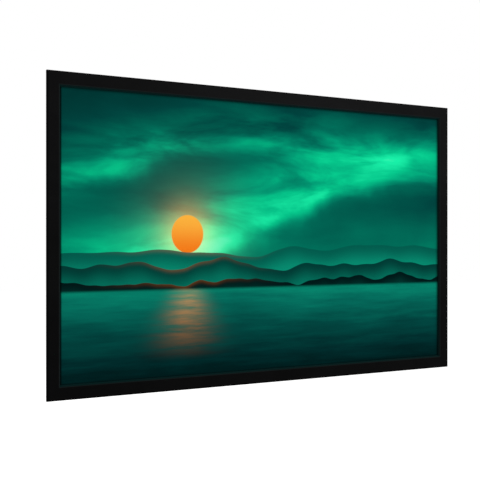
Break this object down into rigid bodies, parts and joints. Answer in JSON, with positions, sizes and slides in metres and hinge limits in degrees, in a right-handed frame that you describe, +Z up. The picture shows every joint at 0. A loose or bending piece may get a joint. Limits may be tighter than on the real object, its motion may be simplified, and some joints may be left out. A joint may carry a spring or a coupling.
{
  "type": "fixed frame projector screen",
  "caption": "Flat projection sheet stretched by clips and rods in a mitred, velvet-covered aluminium frame, hung on hooked wall brackets.",
  "frame": {"origin": "centre of the whole object's bounding box", "axes": "+X along the width, to the right as seen by the viewer; +Y from the viewer towards the wall; +Z up"},
  "size_m": [2.338, 0.038, 1.369],
  "materials": {
    "velvet": "black short-pile velvet, wrapped over the front and outer faces of an extruded aluminium section",
    "screen_sheet": "matt vinyl sheet, white when unlit, here with a green and teal night scene shown on it; dark grey back",
    "zinc_steel": "zinc-plated steel",
    "aluminium": "mill-finish extruded aluminium",
    "fibreglass": "pultruded glass-fibre rod, off-white",
    "clip_plastic": "moulded black acetal"
  },
  "bodies": {
    "root": {"frame_rail_top_left": "velvet", "frame_rail_top_right": "velvet", "frame_rail_bottom_left": "velvet", "frame_rail_bottom_right": "velvet", "frame_rail_left": "velvet", "frame_rail_right": "velvet", "corner_plate_top_left": "zinc_steel", "corner_plate_top_right": "zinc_steel", "corner_plate_bottom_left": "zinc_steel", "corner_plate_bottom_right": "zinc_steel", "splice_plate_top": "zinc_steel", "splice_plate_bottom": "zinc_steel", "support_bar_tab_top": "zinc_steel", "support_bar_tab_bottom": "zinc_steel", "support_bar": "aluminium", "screen_sheet": "screen_sheet", "tension_rod_top_left": "fibreglass", "tension_rod_top_right": "fibreglass", "tension_rod_bottom_left": "fibreglass", "tension_rod_bottom_right": "fibreglass", "tension_rod_left": "fibreglass", "tension_rod_right": "fibreglass", "wall_bracket_top_left": "zinc_steel", "wall_bracket_top_right": "zinc_steel", "wall_bracket_bottom_left": "zinc_steel", "wall_bracket_bottom_right": "zinc_steel", "hem_clip_top_1": "clip_plastic", "hem_clip_top_2": "clip_plastic", "hem_clip_top_3": "clip_plastic", "hem_clip_top_4": "clip_plastic", "hem_clip_top_5": "clip_plastic", "hem_clip_top_6": "clip_plastic", "hem_clip_top_7": "clip_plastic", "hem_clip_top_8": "clip_plastic", "hem_clip_top_9": "clip_plastic", "hem_clip_top_10": "clip_plastic", "hem_clip_bottom_1": "clip_plastic", "hem_clip_bottom_2": "clip_plastic", "hem_clip_bottom_3": "clip_plastic", "hem_clip_bottom_4": "clip_plastic", "hem_clip_bottom_5": "clip_plastic", "hem_clip_bottom_6": "clip_plastic", "hem_clip_bottom_7": "clip_plastic", "hem_clip_bottom_8": "clip_plastic", "hem_clip_bottom_9": "clip_plastic", "hem_clip_bottom_10": "clip_plastic", "hem_clip_left_1": "clip_plastic", "hem_clip_left_2": "clip_plastic", "hem_clip_left_3": "clip_plastic", "hem_clip_left_4": "clip_plastic", "hem_clip_left_5": "clip_plastic", "hem_clip_left_6": "clip_plastic", "hem_clip_right_1": "clip_plastic", "hem_clip_right_2": "clip_plastic", "hem_clip_right_3": "clip_plastic", "hem_clip_right_4": "clip_plastic", "hem_clip_right_5": "clip_plastic", "hem_clip_right_6": "clip_plastic"}
  },
  "joints": []
}
